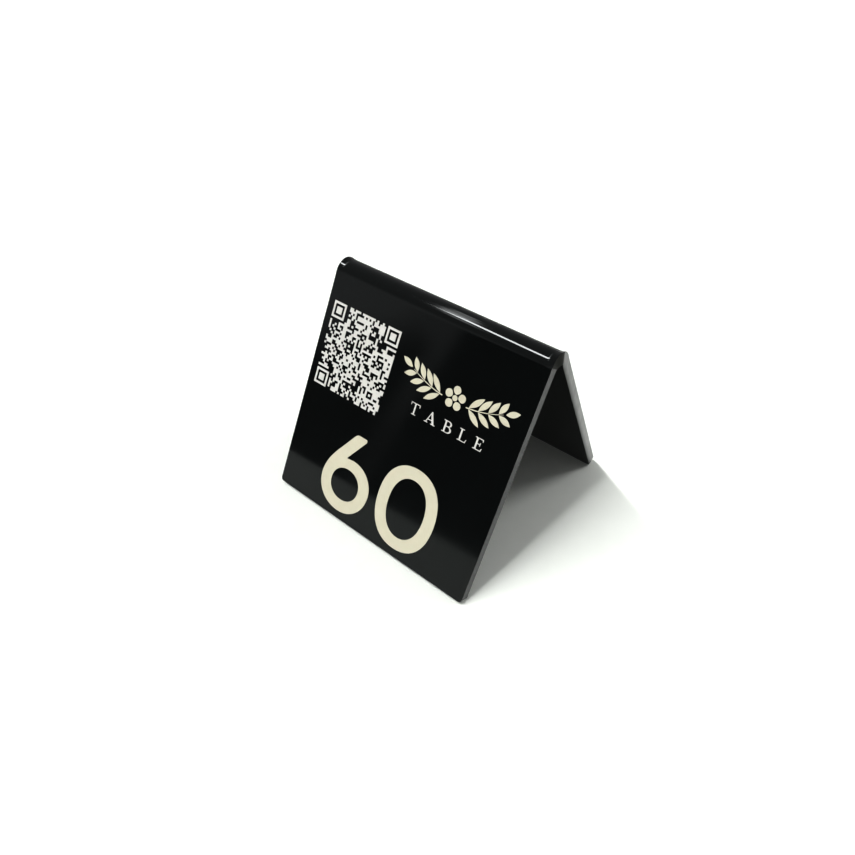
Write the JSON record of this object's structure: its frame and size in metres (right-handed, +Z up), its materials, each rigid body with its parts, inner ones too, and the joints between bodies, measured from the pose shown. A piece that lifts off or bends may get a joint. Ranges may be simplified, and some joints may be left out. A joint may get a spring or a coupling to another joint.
{
  "type": "table number holder",
  "caption": "Small tent of bent black acrylic sheet with film digits, a square code panel, a leaf sprig ornament and a short word on its front face.",
  "frame": {"origin": "on the table, midway between the two feet and midway along the ridge", "axes": "+X along the ridge, to the right as the front is read; -Y is the front, which carries the number; +Z up"},
  "size_m": [0.1018, 0.0998, 0.0896],
  "materials": {
    "black_acrylic": "polished cast acrylic, matte grey on the sawn edges",
    "cream_film": "satin cut vinyl",
    "white_film": "satin cut vinyl"
  },
  "bodies": {
    "root": {"bent_sheet": "black_acrylic", "blossom_heart": "cream_film", "blossom_petal_1": "cream_film", "blossom_petal_2": "cream_film", "blossom_petal_3": "cream_film", "blossom_petal_4": "cream_film", "blossom_petal_5": "cream_film", "code_eye_1": "white_film", "code_eye_2": "white_film", "code_eye_3": "white_film", "code_field": "white_film", "code_ring_1": "white_film", "code_ring_2": "white_film", "code_ring_3": "white_film", "digit_six": "cream_film", "digit_zero": "cream_film", "leaf_left_lower_1": "cream_film", "leaf_left_lower_2": "cream_film", "leaf_left_lower_3": "cream_film", "leaf_left_lower_4": "cream_film", "leaf_left_tip": "cream_film", "leaf_left_upper_1": "cream_film", "leaf_left_upper_2": "cream_film", "leaf_left_upper_3": "cream_film", "leaf_left_upper_4": "cream_film", "leaf_right_lower_1": "cream_film", "leaf_right_lower_2": "cream_film", "leaf_right_lower_3": "cream_film", "leaf_right_lower_4": "cream_film", "leaf_right_tip": "cream_film", "leaf_right_upper_1": "cream_film", "leaf_right_upper_2": "cream_film", "leaf_right_upper_3": "cream_film", "leaf_right_upper_4": "cream_film", "letter_a": "white_film", "letter_b": "white_film", "letter_e": "white_film", "letter_l": "white_film", "letter_t": "white_film", "sprig_stem_left": "cream_film", "sprig_stem_right": "cream_film"}
  },
  "joints": []
}
